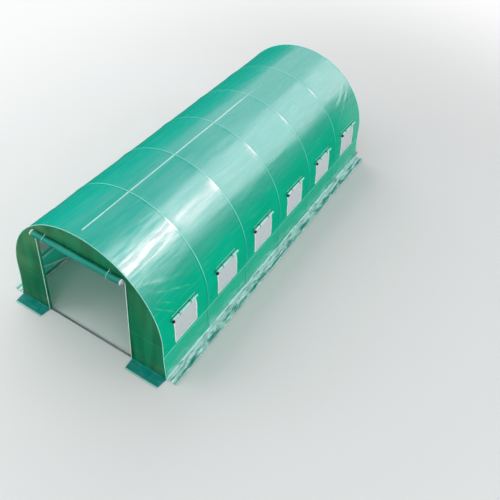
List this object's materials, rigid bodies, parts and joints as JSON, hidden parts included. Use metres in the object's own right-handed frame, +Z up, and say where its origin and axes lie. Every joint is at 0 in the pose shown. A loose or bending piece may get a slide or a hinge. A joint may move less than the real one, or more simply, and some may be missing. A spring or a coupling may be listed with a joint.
{
  "type": "polytunnel greenhouse",
  "caption": "Walk-in polytunnel greenhouse: hooped steel tube frame under green film, netted side windows with rolled flaps, a rolled-up door and ground skirts.",
  "frame": {"origin": "on the ground at the centre of the footprint", "axes": "+Z up, +X to the right of someone facing the open door, +Y from the open front end to the closed back end"},
  "size_m": [2.9806, 6.4152, 1.95],
  "materials": {
    "tube": "galvanised steel tube, dull grey with a faint spangle",
    "cover_film": "green reinforced polyethylene film with a grid weave, slightly glossy and translucent",
    "end_film": "green reinforced polyethylene film with a grid weave",
    "door_film": "green reinforced polyethylene film, several layers thick where it is rolled",
    "flap_film": "green reinforced polyethylene film rolled up tight, paler at its edge",
    "net": "fine pale insect net with a white welded border",
    "zip_tape": "white woven zip tape",
    "strap": "pale green woven strap",
    "skirt_film": "green reinforced polyethylene film laid flat, creased and dusty"
  },
  "bodies": {
    "root": {"front_hoop": "tube", "hoop_2": "tube", "hoop_3": "tube", "hoop_4": "tube", "hoop_5": "tube", "hoop_6": "tube", "back_hoop": "tube", "ridge_rail": "tube", "right_side_rail": "tube", "left_side_rail": "tube", "base_rails": "tube", "corner_braces": "tube", "front_door_posts": "tube", "back_door_posts": "tube", "front_lintel": "tube", "back_lintel": "tube", "front_sill": "tube", "back_sill": "tube", "cover_right_side": "cover_film", "cover_left_side": "cover_film", "cover_roof_1": "cover_film", "cover_roof_2": "cover_film", "cover_roof_3": "cover_film", "cover_roof_4": "cover_film", "cover_roof_5": "cover_film", "cover_roof_6": "cover_film", "front_wall_right": "end_film", "front_wall_left": "end_film", "front_wall_top": "end_film", "back_wall_right": "end_film", "back_wall_left": "end_film", "back_wall_top": "end_film", "back_door": "door_film", "front_door_roll": "door_film", "right_window_rolls": "flap_film", "left_window_rolls": "flap_film", "right_window_screens": "net", "left_window_screens": "net", "front_zip_tapes": "zip_tape", "back_zip_tapes": "zip_tape", "front_door_ties": "strap", "right_skirt": "skirt_film", "left_skirt": "skirt_film", "front_skirts": "skirt_film", "back_skirts": "skirt_film"}
  },
  "joints": []
}
